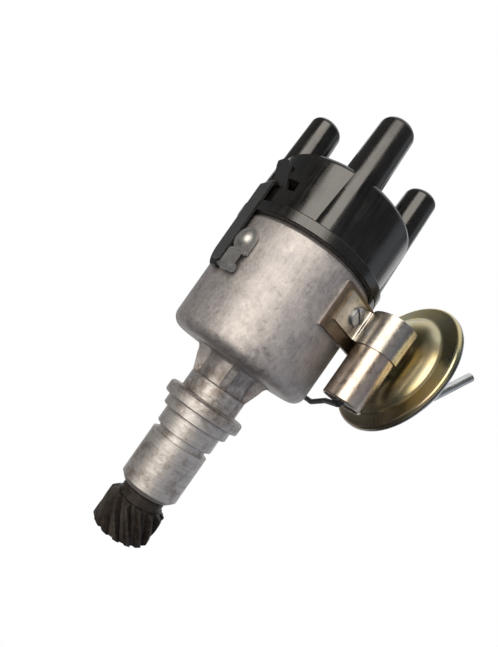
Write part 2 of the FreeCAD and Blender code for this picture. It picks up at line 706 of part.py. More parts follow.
def on_hinge(t):
    return local(HINGE_AZ, t, HINGE_R, HINGE_Z)


def clip():
    """The left spring clip, in its closed position."""
    profile = strip([(CLIP_R, HINGE_Z), (CLIP_R, LEDGE_FLOOR + 2.6),
                     (POCKET_R + 1.3, LEDGE_FLOOR + 0.9), (CLIP_R - 0.3, LEDGE_FLOOR + 14.2)],
                    1.3, CLIP_THICK)
    outline = plate(CLIP_AZ, [
        (2.2, HINGE_Z - 1.4), (CLIP_NEAR, HINGE_Z - 1.4), (CLIP_NEAR, LEDGE_FLOOR + 10.4),
        (4.6, LEDGE_FLOOR + 12.8), (-3.4, LEDGE_FLOOR + 16), (CLIP_FAR, LEDGE_FLOOR + 12.6),
        (CLIP_FAR, HINGE_Z + 8.1), (-3.4, HINGE_Z + 2.2, 2.2, HINGE_Z - 1.4)],
        CLIP_R - 16, CLIP_R + 14)
    sheet = slab(CLIP_AZ, profile, CLIP_FAR, CLIP_NEAR).common(outline)
    eye = rod(PIN_R + 0.9, on_hinge(-4.6), on_hinge(-0.9))
    bore = rod(PIN_R + FIT, on_hinge(-9), on_hinge(5))
    return joined([sheet, eye]).cut(bore).removeSplitter()


def hinge_pin():
    return rod(PIN_R, on_hinge(-4.9), on_hinge(9.9))


def clip_bracket():
    """A riveted plate whose tongue steps out and curls round the clip's pin."""
    low = BOWL_R + 0.3
    high = low + 1.5
    head = rod(5.4, local(BRACKET_AZ, 0, low, RIVET_Z), local(BRACKET_AZ, 0, high, RIVET_Z))
    foot = plate(BRACKET_AZ, box(-2.4, 5.4, RIVET_Z - 6, RIVET_Z), low, high)
    tongue = slab(BRACKET_AZ, strip([
        (low + 0.75, RIVET_Z - 3), (low + 0.75, HINGE_Z + 7.2), (HINGE_R + 1.8, HINGE_Z + 7.2),
        (HINGE_R + 1.8, HINGE_Z)], 1.1, 1.5), -1.6, 5.0)
    knuckle = rod(PIN_R + 0.95, on_hinge(3.1), on_hinge(9.4))
    body = joined([head, foot, tongue, knuckle]).cut(cylinder(low, 40, 90))
    hole = wall_hole(RIVET_SHANK_R, BRACKET_AZ, 0, RIVET_Z)
    return body.cut(hole).cut(hinge_pin()).removeSplitter()


def clip_rivet():
    low = BOWL_R + 1.8
    dome = 2.0
    head_r = 3.6
    ball_r = (head_r ** 2 + dome ** 2) / (2 * dome)
    shank = rod(RIVET_SHANK_R, local(BRACKET_AZ, 0, BOWL_BORE_R + 0.2, RIVET_Z),
                local(BRACKET_AZ, 0, low, RIVET_Z))
    ball = Part.makeSphere(ball_r, local(BRACKET_AZ, 0, low + dome - ball_r, RIVET_Z))
    disc = rod(head_r + 0.5, local(BRACKET_AZ, 0, low, RIVET_Z), local(BRACKET_AZ, 0, low + 4, RIVET_Z))
    return joined([ball.common(disc), shank])


def both_sides(shape):
    return [shape, spin(shape, 180)]


def on_plate(along, out=0.0, z=0.0):
    return local(PLATE_AZ, along, PLATE_FACE + out, z)


def capsule_bracket():
    """The plate on the bowl, folded forward at its end against the capsule."""
    middle = -PLATE_THICK / 2
    left = on_plate(PLATE_LEFT, middle)
    face = on_capsule(-DISC_DEPTH - PLATE_THICK / 2)
    aim = tangent(PLATE_AZ)
    reach = (face - left).dot(CAPSULE_AIM) / aim.dot(CAPSULE_AIM)
    corner = left + aim * reach
    shift = (corner - face).dot(CAPSULE_ACROSS)
    end = corner - CAPSULE_ACROSS * (shift + 7.0)
    outline = strip([(left.x, left.y), (corner.x, corner.y), (end.x, end.y)], 2.4, PLATE_THICK)
    body = prism(outline, PLATE_LOW, PLATE_HIGH)
    cut_side = [(-20, 30), (80, 30), (80, PLATE_LOW + 2.2), (25.0, PLATE_LOW + 2.2),
                (21.0, PLATE_LOW), (-20, PLATE_LOW)]
    body = body.cut(plate(PLATE_AZ, cut_side, 0, PLATE_FACE + 23))
    window = plate(PLATE_AZ, box(14.5, 33.0, CAPSULE_Z - 3, CAPSULE_Z + 3),
                   PLATE_FACE - 7, PLATE_FACE + 0.5)
    body = body.cut(window).cut(rod(3.0, on_capsule(-25), on_capsule(0)))
    return body.cut(rod(2.0, on_plate(SCREW_AT, -5, SCREW_Z), on_plate(SCREW_AT, 5, SCREW_Z)))


def condenser_strap():
    low = 61.6
    high = 76.8
    centre = on_plate(CAN_AT, STRAP_THICK + CAN_R)
    outer = CAN_R + STRAP_THICK
    band = ring(outer, CAN_R, low, high, centre.x, centre.y)
    foot = plate(PLATE_AZ, box(-4.6, CAN_AT, low + 0.6, high - 1.0), PLATE_FACE,
                 PLATE_FACE + STRAP_THICK)
    bend = 1.4
    side = math.sqrt((outer + bend) ** 2 - (outer - STRAP_THICK - bend) ** 2)
    web = prism([tuple(on_plate(CAN_AT - side, STRAP_THICK))[:2],
                 tuple(on_plate(CAN_AT, STRAP_THICK))[:2],
                 tuple(centre)[:2]], low + 0.6, high - 1.0)
    hollow = on_plate(CAN_AT - side, STRAP_THICK + bend)
    web = web.cut(cylinder(bend, low, high, hollow.x, hollow.y))
    body = joined([band, foot, web.cut(cylinder(CAN_R, low - 1, high + 1, centre.x, centre.y))])
    body = body.cut(cylinder(CAN_R, low - 1, high + 1, centre.x, centre.y))
    return body.cut(rod(2.0, on_plate(SCREW_AT, -5, SCREW_Z), on_plate(SCREW_AT, 5, SCREW_Z)))


def condenser_can():
    centre = on_plate(CAN_AT, STRAP_THICK + CAN_R)
    return turned([
        (0, CAN_LOW + 3.2), (CAN_R - 0.9, CAN_LOW + 3.2), (CAN_R - 0.9, CAN_LOW),
        (CAN_R - 0.4, CAN_LOW), (CAN_R, CAN_LOW + 0.6), (CAN_R, CAN_HIGH - 1.0),
        (CAN_R - 0.3, CAN_HIGH - 0.3, CAN_R - 1.0, CAN_HIGH), (0, CAN_HIGH)], centre.x, centre.y)


def lead_start():
    centre = on_plate(CAN_AT, STRAP_THICK + CAN_R)
    return V(centre.x, centre.y, CAN_LOW + 0.8)


def condenser_seal():
    start = lead_start()
    disc = cylinder(CAN_R - 0.9, start.z, CAN_LOW + 3.2, start.x, start.y)
    return disc.cut(cylinder(1.25, start.z - 1, start.z + 1.2, start.x, start.y))


TAG_R = BOWL_R + 2.1
TAG_DROP = math.radians(15)
TAG_AIM = tangent(LT_AZ) * -math.cos(TAG_DROP) - UP * math.sin(TAG_DROP)


def condenser_lead():
    start = lead_start()
    end = local(LT_AZ, 0, TAG_R + 0.5, LT_Z) + TAG_AIM * 6.0
    points = [start + UP * 1.2, V(start.x, start.y, CAN_LOW - 1.0),
              V(BOWL_R + 7.2, -8.0, CAN_LOW - 1.4), V(BOWL_R + 4.6, 3.6, 33.3), end + TAG_AIM * 5.5, end]
    wire = path(points, 2.4)
    return swept(wire, 1.25, points[0], V(0, 0, -1))


def lead_tag():
    low = local(LT_AZ, 0, TAG_R, LT_Z)
    high = local(LT_AZ, 0, TAG_R + 0.9, LT_Z)
    middle = local(LT_AZ, 0, TAG_R + 0.5, LT_Z)

    def flat(along, across):
        return (across * math.sin(TAG_DROP) - along * math.cos(TAG_DROP),
                LT_Z - along * math.sin(TAG_DROP) - across * math.cos(TAG_DROP))
    eye = rod(3.6, low, high)
    neck = plate(LT_AZ, [flat(2.6, 1.2), flat(5.2, 1.2), flat(5.2, -1.2), flat(2.6, -1.2)],
                 TAG_R, TAG_R + 0.9)
    barrel = rod(1.75, middle + TAG_AIM * 4.6, middle + TAG_AIM * 8.4)
    body = joined([eye, neck, barrel])
    body = body.cut(rod(1.25, middle + TAG_AIM * 6.0, middle + TAG_AIM * 9.0))
    return body.cut(wall_hole(STUD_R, LT_AZ, 0, LT_Z))


def lt_insulator():
    def at(r):
        return local(LT_AZ, 0, r, LT_Z)
    body = joined([rod(4.2, at(BOWL_R + 0.6), at(TAG_R)),
                   rod(STUD_SLEEVE_R, at(LEDGE_R - 1.3), at(BOWL_R + 0.7)),
                   rod(4.2, at(LEDGE_R - 2.3), at(LEDGE_R - 1.1))])
    return body.cut(wall_hole(STUD_R, LT_AZ, 0, LT_Z))


def lt_stud():
    shoulder = local(LT_AZ, 0, TAG_R + 3.3, LT_Z)
    return joined([rod(STUD_R, local(LT_AZ, 0, LEDGE_R - 3.3, LT_Z), shoulder),
                   rod(STUD_END_R, shoulder, local(LT_AZ, 0, TAG_R + 7.6, LT_Z))])


def lt_nut():
    points = []
    for k in range(6):
        a = math.radians(60 * k)
        points.append((4.0 * math.cos(a), LT_Z + 4.0 * math.sin(a)))
    nut = plate(LT_AZ, points, TAG_R + 0.9, TAG_R + 3.3)
    return nut.cut(wall_hole(STUD_R, LT_AZ, 0, LT_Z))


SHEET = 0.9


def capsule_shell():
    """The pressed shell that faces the bowl."""
    return capsule_turned([
        (3.0, -DISC_DEPTH), (14.0, -DISC_DEPTH), (19.72, -6.38, 24.6, -3.2), (25.44, -2.62, 26.43, -2.36),
        (31.0, -1.96), (32.08, -1.55, CAPSULE_R, -0.5), (CAPSULE_R, 0), (30.6, 0), (30.6, -1.09),
        (26.35, -1.47), (25.07, -1.8, 23.97, -2.56), (19.39, -5.55, 14.0, SHEET - DISC_DEPTH),
        (3.0, SHEET - DISC_DEPTH)])


def capsule_cover():
    """The domed outer cover, rolled over the shell's edge."""
    shell = capsule_turned([
        (2.4, 11.0), (12, 11.0), (22.5, 9.6, 28.0, 3.6), (29.2, 1.9), (CAPSULE_R - 0.4, 1.5),
        (CAPSULE_R, 1.1), (CAPSULE_R, 0.5), (29.0, 0.5), (27.4, 2.9),
        (22.0, 8.6, 12, 10.1), (2.4, 10.1)])
    return shell


def diaphragm():
    """The rubber sheet clamped between shell and cover, at rest."""
    return capsule_turned([
        (2.0, -4.4), (20, -4.4), (21.8, -4.0, 23.0, -2.6), (24.6, -0.4, 27.0, 0), (CAPSULE_R - 0.6, 0),
        (CAPSULE_R - 0.6, 0.5), (26.8, 0.5), (24.0, 0.0, 22.4, -2.2), (21.4, -3.4, 20, -3.8), (2.0, -3.8)])


def diaphragm_cups():
    """The cup above the rubber and the washer below it."""
    cup = capsule_turned([(2.0, -3.8), (17.5, -3.8), (17.5, -1.8), (16.8, -1.8), (16.8, -3.1), (2.0, -3.1)])
    washer = capsule_turned([(2.0, -5.2), (15.0, -5.2), (15.0, -4.4), (2.0, -4.4)])
    return [cup, washer]


def vacuum_rod():
    """The pull rod, riveted through the diaphragm, with its flat eye over the plate's post."""
    end = ROD_END
    shaft = rod(ROD_R, end + CAPSULE_AIM * 3.0, on_capsule(-5.2))
    neck = rod(2.0, on_capsule(-6.2), on_capsule(-2.4))
    eye = cylinder(3.5, CAPSULE_Z - 0.8, CAPSULE_Z + 0.8, end.x, end.y)
    hook = local(ROD_REST_AZ, 0, ROD_LINE_R, 0)
    hole = cylinder(1.75, CAPSULE_Z - 3, CAPSULE_Z + 3, hook.x, hook.y)
    return joined([shaft, neck, eye]).cut(hole)


def diaphragm_spring():
    return coil(9.5, 0.6, 4, on_capsule(-2.4), on_capsule(9.4))


def vacuum_pipe():
    rise = math.radians(58)
    aim = CAPSULE_AIM * math.cos(rise) + UP * math.sin(rise)
    bend = on_capsule(26.0)
    points = [on_capsule(9.8), bend, bend + aim * 25.0]
    wire = path(points, 6.0)
    outer = swept(wire, 2.35, points[0], CAPSULE_AIM)
    bore = swept(wire, 1.5, points[0], CAPSULE_AIM)
    collar = rod(4.2, on_capsule(11.0), on_capsule(11.9))
    return joined([outer, collar]).cut(bore)


def advance_springs():
    springs = []
    post = V(-8.5, -18.5, 44.4)
    foot = along_foot(17) + UP * 44.4
    for a, b in ((post, foot), (spin_point(post), spin_point(foot))):
        aim = (b - a).normalize()
        body = coil(1.9, 0.35, 7, a + aim * 2.2, b - aim * 2.2)
        loops = [wire_loop(1.75, 0.35, point.x, point.y, point.z) for point in (a, b)]
        springs.append(Part.makeCompound([body] + loops))
    return springs


def spin_point(point):
    return V(-point.x, -point.y, point.z)


def brush_spring():
    return coil(1.9, 0.3, 5, V(0, 0, BRUSH_TOP + 0.2), V(0, 0, SOCKET_FLOOR - 1.3))


os.makedirs("parts", exist_ok=True)

first_weight = weight()
left_clip = clip()
pieces = {
    "housing": [housing()],
    "lower_bush": [ring(BUSH_R, SHAFT_R + FIT, STEM_END, -20)],
    "upper_bush": [ring(BUSH_R, SHAFT_R + FIT, COLLAR_TOP, BOWL_FLOOR)],
    "main_shaft": [main_shaft()],
    "drive_gear": [drive_gear()],
    "gear_pin": [cross_pin()],
    "thrust_washer": [ring(10.2, SHAFT_R + 0.1, HUB_TOP + 0.05, STEM_END - 0.05)],
    "carrier_washer": [ring(9.8, SHAFT_R + 0.1, BOWL_FLOOR + 0.05, CARRIER_Z - 0.05)],
    "weight_carrier": [weight_carrier()],
    "weight_posts": weight_posts(),
    "spring_posts": spring_posts(),
    "advance_weight_a": [first_weight],
    "advance_weight_b": [spin(first_weight, 180)],
    "advance_springs": advance_springs(),
    "cam": [cam()],
    "cam_screw": [cam_screw()],
    "felt_wick": [cylinder(WICK_R, CAM_HIGH + 5.3, CAM_TOP - 1.4)],
    "rotor_arm": [rotor_arm()],
    "rotor_blade": [rotor_blade()],
    "breaker_base": [breaker_base()],
    "base_screws": base_screws(),
    "breaker_plate": [breaker_plate()],
    "breaker_circlip": [breaker_circlip()],
    "fixed_contact": [fixed_contact()],
    "fixed_tip": [fixed_tip()],
    "points_screw": [points_screw()],
    "breaker_arm": [breaker_arm()],
    "moving_tip": [moving_tip()],
    "breaker_heel": [breaker_heel()],
    "breaker_spring": [breaker_spring()],
    "distributor_cap": [distributor_cap()],
    "side_electrodes": side_electrodes(),
    "centre_electrode": [centre_electrode()],
    "carbon_brush": [carbon_brush()],
    "brush_spring": [brush_spring()],
    "clip_left": [left_clip],
    "clip_right": [spin(left_clip, 180)],
    "clip_pins": both_sides(hinge_pin()),
    "clip_brackets": both_sides(clip_bracket()),
    "clip_rivets": both_sides(clip_rivet()),
    "capsule_bracket": [capsule_bracket()],
    "capsule_shell": [capsule_shell()],
    "capsule_cover": [capsule_cover()],
    "diaphragm": [diaphragm()],
    "diaphragm_cups": diaphragm_cups(),
    "diaphragm_spring": [diaphragm_spring()],
    "vacuum_rod": [vacuum_rod()],
    "vacuum_pipe": [vacuum_pipe()],
    "condenser_can": [condenser_can()],
    "condenser_seal": [condenser_seal()],
    "condenser_strap": [condenser_strap()],
    "condenser_screw": [slotted(3.9, 2.8, 2.0, on_plate(SCREW_AT, STRAP_THICK, SCREW_Z),
                                radial(PLATE_AZ), 5.6, 50)],
    "condenser_lead": [condenser_lead()],
    "lead_tag": [lead_tag()],
    "lt_insulator": [lt_insulator()],
    "lt_stud": [lt_stud()],
    "lt_nut": [lt_nut()],
}

for name, shapes in pieces.items():
    shape = shapes[0] if len(shapes) == 1 else Part.makeCompound(shapes)
    shape.exportStep("parts/" + name + ".step")
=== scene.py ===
import bmesh
import bpy
import json
import math
from mathutils import Matrix, Vector


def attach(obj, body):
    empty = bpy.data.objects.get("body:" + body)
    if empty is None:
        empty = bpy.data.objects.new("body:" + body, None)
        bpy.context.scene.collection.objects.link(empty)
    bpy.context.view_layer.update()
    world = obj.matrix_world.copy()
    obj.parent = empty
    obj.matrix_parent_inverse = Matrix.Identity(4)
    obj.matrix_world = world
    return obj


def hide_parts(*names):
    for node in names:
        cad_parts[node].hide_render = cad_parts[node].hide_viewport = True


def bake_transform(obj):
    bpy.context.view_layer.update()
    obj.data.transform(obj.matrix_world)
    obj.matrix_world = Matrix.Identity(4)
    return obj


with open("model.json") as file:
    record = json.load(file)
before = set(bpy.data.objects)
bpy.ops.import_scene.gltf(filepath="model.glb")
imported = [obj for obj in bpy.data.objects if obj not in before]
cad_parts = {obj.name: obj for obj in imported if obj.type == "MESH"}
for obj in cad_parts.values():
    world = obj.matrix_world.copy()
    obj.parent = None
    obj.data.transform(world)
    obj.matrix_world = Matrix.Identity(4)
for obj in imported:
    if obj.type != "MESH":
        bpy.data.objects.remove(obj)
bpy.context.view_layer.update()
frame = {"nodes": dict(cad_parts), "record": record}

scene = bpy.context.scene
MM = 0.001
UP = Vector((0.0, 0.0, 1.0))

# camera, fitted to the circles that the photograph shows
LEAN = math.radians(35.0)
YAW = math.radians(2.18)
PITCH = math.radians(0.77)
DISTANCE = 0.199
EYE_Z = 0.0171
FOCAL_PX = 434.0
IMAGE_H = 647.0
SHIFT_PX = (9.8, 62.8)
SENSOR_WIDTH = 36.0
CLIP_NEAR = 0.01
CLIP_FAR = 10.0

# the screw that holds the condenser's strap; its head is given as heights and radii in millimetres
SCREW_SEAT = Vector((29.56, -24.38, 69.8)) * MM
SCREW_AZIMUTH = math.radians(42.0)
SCREW_SLOT_TURN = math.radians(-58.0)
SCREW_LENGTH = 5.6 * MM
SCREW_SHANK_R = 2.0 * MM
SCREW_HEAD = ((0.0, 3.9), (1.05, 3.9), (1.3, 3.65), (1.5, 2.9), (1.58, 1.5))
SLOT_WIDE = 1.1 * MM
SLOT_DEEP = 0.85 * MM
SLOT_OVERRUN = 1.2
ROUND_STEPS = 64
CREASE = math.radians(25.0)

# the lamp, whose azimuth runs from the front towards the right
WINDOW_AZIMUTH = math.radians(-22.0)
WINDOW_ELEVATION = math.radians(13.0)
WINDOW_DISTANCE = 0.9
WINDOW_WIDTH = 0.75
WINDOW_HEIGHT = 1.15
WINDOW_POWER = 10.2
WINDOW_WARM = (1.0, 0.93, 0.84)
WINDOW_AIM = Vector((0.01, 0.0, 0.04))

# the studio's round wall: from azimuth, to azimuth, colour below the split, colour above it
ROOM_R = 1.2
ROOM_LOW = -0.9
ROOM_SPLIT = 0.5
ROOM_HIGH = 2.0
WALL_STEP = 20
HALF_TURN = 180
WALLS = (
    (-140, -70, (0.24, 0.24, 0.25), (0.13, 0.13, 0.13)),
    (-70, 20, (0.05, 0.05, 0.05), (0.05, 0.05, 0.05)),
    (20, 50, (0.40, 0.41, 0.47), (0.09, 0.095, 0.105)),
    (50, 80, (0.27, 0.28, 0.32), (0.09, 0.095, 0.105)),
    (80, 105, (0.62, 0.65, 0.71), (0.43, 0.455, 0.49)),
    (105, 125, (0.20, 0.205, 0.22), (0.22, 0.23, 0.25)),
)
FLOOR_REACH = 140
FLOOR = (0.08, 0.08, 0.08)

# the world: what the camera sees, and the even light that falls on the object
BACKDROP = (1.0, 1.0, 1.0)
BACKDROP_STRENGTH = 1.0
FILL = (0.93, 0.96, 1.0)
FILL_STRENGTH = 0.5

# heights between which a finish comes in, from none to full
TURNED_FROM = (0.0146, 0.0140)
# the band on the neck that is darkened: partly soot, partly painted shade under the bowl
SOOT_AND_SHADE_FROM_BELOW = (-0.001, 0.005)
SOOT_AND_SHADE_FROM_ABOVE = (0.030, 0.018)
CAPSULE_DARKER_BELOW = (0.062, 0.040)

# how noise is stretched for upright marks and for turning marks
UPRIGHT = (1.0, 1.0, 0.07)
RUBBED = (1.0, 1.0, 0.06)
TURNING = (0.05, 0.05, 1.0)

# colours of the casting
CAST_PALE = (0.55, 0.515, 0.50)
CAST_GREY = (0.395, 0.375, 0.38)
CAST_DARK = (0.20, 0.185, 0.19)
CAST_GRAIN = (0.66, 0.64, 0.63)
CAST_STREAK = (0.66, 0.64, 0.62)
CAST_PIT = (0.09, 0.08, 0.08)
CAST_GRIME = (0.12, 0.11, 0.115)
TURNED_PALE = (0.60, 0.585, 0.575)
TURNED_GREY = (0.47, 0.45, 0.435)
TURNED_STAIN = (0.23, 0.18, 0.145)
# partly soot, partly painted shade where the bowl shades the neck
COLLAR_SOOT_AND_SHADE = (0.17, 0.135, 0.11)

# colours of the cap's moulding
RESIN_CLEAN = (0.004, 0.004, 0.004)
RESIN_DUSTY = (0.008, 0.0075, 0.007)
RESIN_RUBBED = (0.012, 0.011, 0.010)

# colours of the capsule's passivate
CAPSULE_GREEN = (0.50, 0.495, 0.325)
CAPSULE_BROWN = (0.52, 0.42, 0.265)
CAPSULE_GOLD = (0.62, 0.51, 0.21)
CAPSULE_LOWER_DARK = (0.15, 0.12, 0.10)

# inputs and output of the Mix node when it mixes colours
MIX_SHARE = 0
MIX_FIRST = 6
MIX_SECOND = 7
MIX_RESULT = 2

# roughness: ranges, what turning takes off, what rubbing adds, and how far a plain stuff varies
CAST_ROUGH = (0.48, 0.64)
TURNED_SMOOTHER = -0.06
RESIN_ROUGH = (0.15, 0.24)
MARKS_ROUGHER = 0.10
CAPSULE_ROUGH = (0.27, 0.34)
ROUGH_SPREAD = 0.1

# how far fine bumps stand out, in metres
FINE_RELIEF = 0.0001
CAST_RELIEF = 0.00015


class Shader:
    """A small helper that wires up one procedural material."""

    def __init__(self, name):
        self.material = bpy.data.materials.new(name)
        self.material.use_nodes = True
        self.nodes = self.material.node_tree.nodes
        self.links = self.material.node_tree.links
        self.surface = self.nodes["Principled BSDF"]
        self.place = self.nodes.new("ShaderNodeTexCoord").outputs["Object"]

    def put(self, socket, value):
        """Links the value if it is another node's output, and sets it on the socket otherwise."""
        if hasattr(value, "is_output"):
            self.links.new(value, socket)
        elif hasattr(value, "__len__") and len(value) == 3 and socket.type == "RGBA":
            socket.default_value = (*value, 1.0)
        else:
            socket.default_value = value

    def set(self, **values):
        """Sets the shader's inputs; an underscore stands for a space in an input's name."""
        for key, value in values.items():
            self.put(self.surface.inputs[key.replace("_", " ")], value)

    def height(self):
        node = self.nodes.new("ShaderNodeSeparateXYZ")
        self.links.new(self.place, node.inputs["Vector"])
        return node.outputs["Z"]

    def noise(self, size, detail, rough, stretch=(1, 1, 1)):
        """Noise whose features are about the given size in metres."""
        mapping = self.nodes.new("ShaderNodeMapping")
        mapping.inputs["Scale"].default_value = stretch
        self.links.new(self.place, mapping.inputs["Vector"])
        node = self.nodes.new("ShaderNodeTexNoise")
        node.inputs["Scale"].default_value = 1.0 / size
        node.inputs["Detail"].default_value = detail
        node.inputs["Roughness"].default_value = rough
        self.links.new(mapping.outputs["Vector"], node.inputs["Vector"])
        return node.outputs["Fac"]

    def span(self, value, low, high, out_low=0.0, out_high=1.0):
        """Maps low..high onto out_low..out_high and holds it there."""
        node = self.nodes.new("ShaderNodeMapRange")
        node.inputs["From Min"].default_value = low
        node.inputs["From Max"].default_value = high
        node.inputs["To Min"].default_value = out_low
        node.inputs["To Max"].default_value = out_high
        self.links.new(value, node.inputs["Value"])
        return node.outputs["Result"]

    def between(self, share, limits):
        """The value between two limits that a share from 0 to 1 stands for."""
        return self.span(share, 0.0, 1.0, *limits)

    def patches(self, size, detail, rough, low, high, stretch=(1, 1, 1)):
        """Patches of noise: nothing where it is below low, and full above high."""
        return self.span(self.noise(size, detail, rough, stretch), low, high)

    def reckon(self, kind, a, b):
        node = self.nodes.new("ShaderNodeMath")
        node.operation = kind
        self.put(node.inputs[0], a)
        self.put(node.inputs[1], b)
        return node.outputs["Value"]

    def plus(self, a, b):
        return self.reckon("ADD", a, b)

    def times(self, a, b):
        return self.reckon("MULTIPLY", a, b)

    def blend(self, share, first, second):
        node = self.nodes.new("ShaderNodeMix")
        node.data_type = "RGBA"
        self.put(node.inputs[MIX_SHARE], share)
        self.put(node.inputs[MIX_FIRST], first)
        self.put(node.inputs[MIX_SECOND], second)
        return node.outputs[MIX_RESULT]

    def coat(self, under, colour, where, amount):
        """Lays a colour over another where the patches are, by no more than the given amount."""
        return self.blend(self.times(where, amount), under, colour)

    def bump(self, height, strength, distance=FINE_RELIEF):
        node = self.nodes.new("ShaderNodeBump")
        node.inputs["Strength"].default_value = strength
        node.inputs["Distance"].default_value = distance
        self.links.new(height, node.inputs["Height"])
        self.links.new(node.outputs["Normal"], self.surface.inputs["Normal"])


def cast_alloy():
    """Weathered die casting: dull and dirty on the bowl, turned bright below it, and darkened in
    patches on the neck under the bowl, partly soot and partly painted shade.
    """
    s = Shader("cast_alloy")
    turned = s.span(s.height(), *TURNED_FROM)
    grain = s.noise(size=0.0014, detail=4, rough=0.7)
    cloud = s.patches(size=0.016, detail=5, rough=0.6, low=0.36, high=0.66)
    mottle = s.patches(size=0.0050, detail=7, rough=0.72, low=0.36, high=0.66)
    streak = s.patches(size=0.0011, detail=3, rough=0.6, low=0.40, high=0.72, stretch=UPRIGHT)
    pits = s.patches(size=0.0026, detail=5, rough=0.7, low=0.58, high=0.72)
    smears = s.patches(size=0.021, detail=3, rough=0.5, low=0.50, high=0.66)
    specks = s.patches(size=0.0032, detail=6, rough=0.7, low=0.40, high=0.62)
    worn = s.span(grain, low=0.35, high=0.7, out_high=0.42)
    skin = s.blend(cloud, CAST_PALE, CAST_GREY)
    skin = s.coat(skin, CAST_DARK, where=mottle, amount=0.62)
    skin = s.blend(worn, skin, CAST_GRAIN)
    skin = s.coat(skin, CAST_STREAK, where=streak, amount=0.26)
    skin = s.coat(skin, CAST_PIT, where=pits, amount=0.5)
    skin = s.coat(skin, CAST_GRIME, where=s.times(smears, specks), amount=0.6)

    bands = s.patches(size=0.0007, detail=2, rough=0.5, low=0.3, high=0.7, stretch=TURNING)
    stains = s.patches(size=0.0075, detail=8, rough=0.74, low=0.48, high=0.64)
    bright = s.blend(bands, TURNED_PALE, TURNED_GREY)
    bright = s.coat(bright, TURNED_STAIN, where=stains, amount=0.75)

    # painted shade: the neck under the bowl is darkened in patches, partly real soot and partly the
    # bowl's shadow
    collar_soot_and_shade_band = s.times(s.span(s.height(), *SOOT_AND_SHADE_FROM_BELOW), s.span(s.height(), *SOOT_AND_SHADE_FROM_ABOVE))
    soot_and_shade_patches = s.patches(size=0.0048, detail=8, rough=0.74, low=0.42, high=0.60)
    colour = s.blend(turned, skin, bright)
    colour = s.coat(colour, COLLAR_SOOT_AND_SHADE, where=s.times(collar_soot_and_shade_band, soot_and_shade_patches), amount=0.72)
    rough = s.span(grain, low=0.3, high=0.7, out_low=CAST_ROUGH[0], out_high=CAST_ROUGH[1])
    rough = s.plus(rough, s.times(turned, TURNED_SMOOTHER))
    s.set(Base_Color=colour, Metallic=0.82, Roughness=rough)
    s.bump(s.plus(grain, s.times(mottle, 0.8)), strength=0.45, distance=CAST_RELIEF)
    return s.material


def cap_resin():
    """Black moulding with a thin film of dust and fine upright rubbing marks."""
    s = Shader("cap_resin")
    film = s.patches(size=0.010, detail=5, rough=0.6, low=0.4, high=0.7)
    marks = s.patches(size=0.0012, detail=3, rough=0.6, low=0.35, high=0.7, stretch=RUBBED)
    waves = s.noise(size=0.004, detail=3, rough=0.6)
    colour = s.blend(film, RESIN_CLEAN, RESIN_DUSTY)
    colour = s.coat(colour, RESIN_RUBBED, where=marks, amount=0.5)
    rough = s.plus(s.between(film, RESIN_ROUGH), s.times(marks, MARKS_ROUGHER))
    s.set(Base_Color=colour, Roughness=rough, IOR=1.7)
    s.bump(s.plus(waves, s.times(marks, 0.3)), strength=0.06)
    return s.material


def passivate():
    """Passivate over zinc: greenish, golden and brown clouds, browner and darker lower down."""
    s = Shader("chromate_zinc")
    cloud = s.patches(size=0.014, detail=4, rough=0.6, low=0.35, high=0.68)
    gilt = s.patches(size=0.011, detail=3, rough=0.5, low=0.46, high=0.60)
    lower = s.span(s.height(), *CAPSULE_DARKER_BELOW)
    colour = s.blend(cloud, CAPSULE_GREEN, CAPSULE_BROWN)
    colour = s.coat(colour, CAPSULE_GOLD, where=gilt, amount=0.5)
    # darker towards the bottom
    colour = s.coat(colour, CAPSULE_LOWER_DARK, where=lower, amount=0.8)
    s.set(Base_Color=colour, Metallic=1.0, Roughness=s.between(cloud, CAPSULE_ROUGH))
    s.bump(s.noise(size=0.0022, detail=4, rough=0.6), strength=0.006)
    return s.material


def plated(name, light, dark, stain, rough, blotch=0.006, stain_share=0.5):
    """Zinc plating with stains: three colours, a range of roughness and the size of its clouds."""
    s = Shader(name)
    cloud = s.patches(size=blotch, detail=4, rough=0.6, low=0.35, high=0.68)
    spoilt = s.patches(size=blotch / 2, detail=7, rough=0.78, low=0.57, high=0.70)
    grit = s.noise(size=0.0022, detail=4, rough=0.6)
    roughness = s.span(grit, low=0.3, high=0.7, out_low=rough[0], out_high=rough[1])
    colour = s.coat(s.blend(cloud, light, dark), stain, where=spoilt, amount=stain_share)
    s.set(Base_Color=colour, Metallic=1.0, Roughness=roughness)
    s.bump(grit, strength=0.04)
    return s.material


def plain(name, light, dark, rough, metallic=0.0, size=0.002, ior=1.5):
    """A single stuff with slight variation of tone and roughness."""
    s = Shader(name)
    cloud = s.patches(size=size, detail=4, rough=0.6, low=0.35, high=0.68)
    roughness = s.between(cloud, (rough, min(1.0, rough + ROUGH_SPREAD)))
    s.set(Base_Color=s.blend(cloud, light, dark), Metallic=metallic, IOR=ior, Roughness=roughness)
    s.bump(cloud, strength=0.15)
    return s.material


